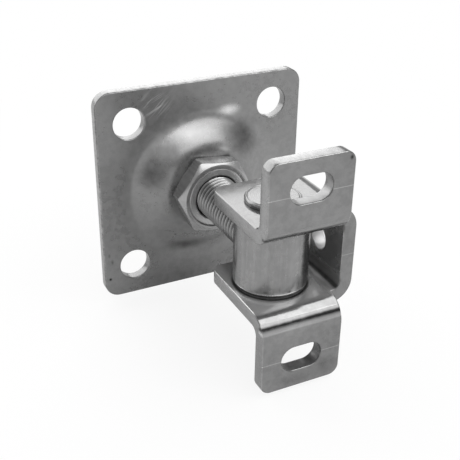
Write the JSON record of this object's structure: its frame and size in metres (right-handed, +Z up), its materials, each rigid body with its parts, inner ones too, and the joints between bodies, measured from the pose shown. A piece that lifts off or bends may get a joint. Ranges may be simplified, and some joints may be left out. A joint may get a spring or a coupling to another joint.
{
  "type": "adjustable gate hinge",
  "caption": "Bolt-on gate hinge: domed post plate, captive nut, threaded eye with a pin, and a folded bracket with slotted flanges.",
  "frame": {"origin": "middle of the four post bolts, on the plate's back face, which lies against the post", "axes": "+Z up along the hinge pin, +X to the right seen from the gate, +Y into the post; the hinge stands out along -Y"},
  "size_m": [0.1, 0.0991, 0.1005],
  "materials": {
    "plate_zinc": "zinc plated, satin, pressed",
    "nut_zinc": "zinc plated, turned",
    "eye_zinc": "zinc plated, turned and threaded",
    "pin_zinc": "zinc plated, turned",
    "bracket_zinc": "zinc plated, satin, folded"
  },
  "bodies": {
    "post_plate": {"back_plate": "plate_zinc"},
    "adjusting_nut": {"captive_nut": "nut_zinc"},
    "eye": {"threaded_eye": "eye_zinc"},
    "gate_leaf": {"gate_bracket": "bracket_zinc", "hinge_pin": "pin_zinc"}
  },
  "joints": [
    {"name": "nut_turn", "type": "hinge", "parent": "post_plate", "child": "adjusting_nut", "pos_m": [0, -0.0165, 0], "axis": [0, 1, 0], "range_deg": [-288, 1440]},
    {"name": "eye_reach", "type": "slide", "parent": "post_plate", "child": "eye", "axis": [0, -1, 0], "range_m": [-0.002, 0.01]},
    {"name": "gate_swing", "type": "hinge", "parent": "eye", "child": "gate_leaf", "pos_m": [0, -0.0717, 0], "axis": [0, 0, 1], "range_deg": [-210, 27]}
  ],
  "couplings": [
    {"joint": "nut_turn", "follows": "eye_reach", "rad_per_m": 2513.3}
  ]
}
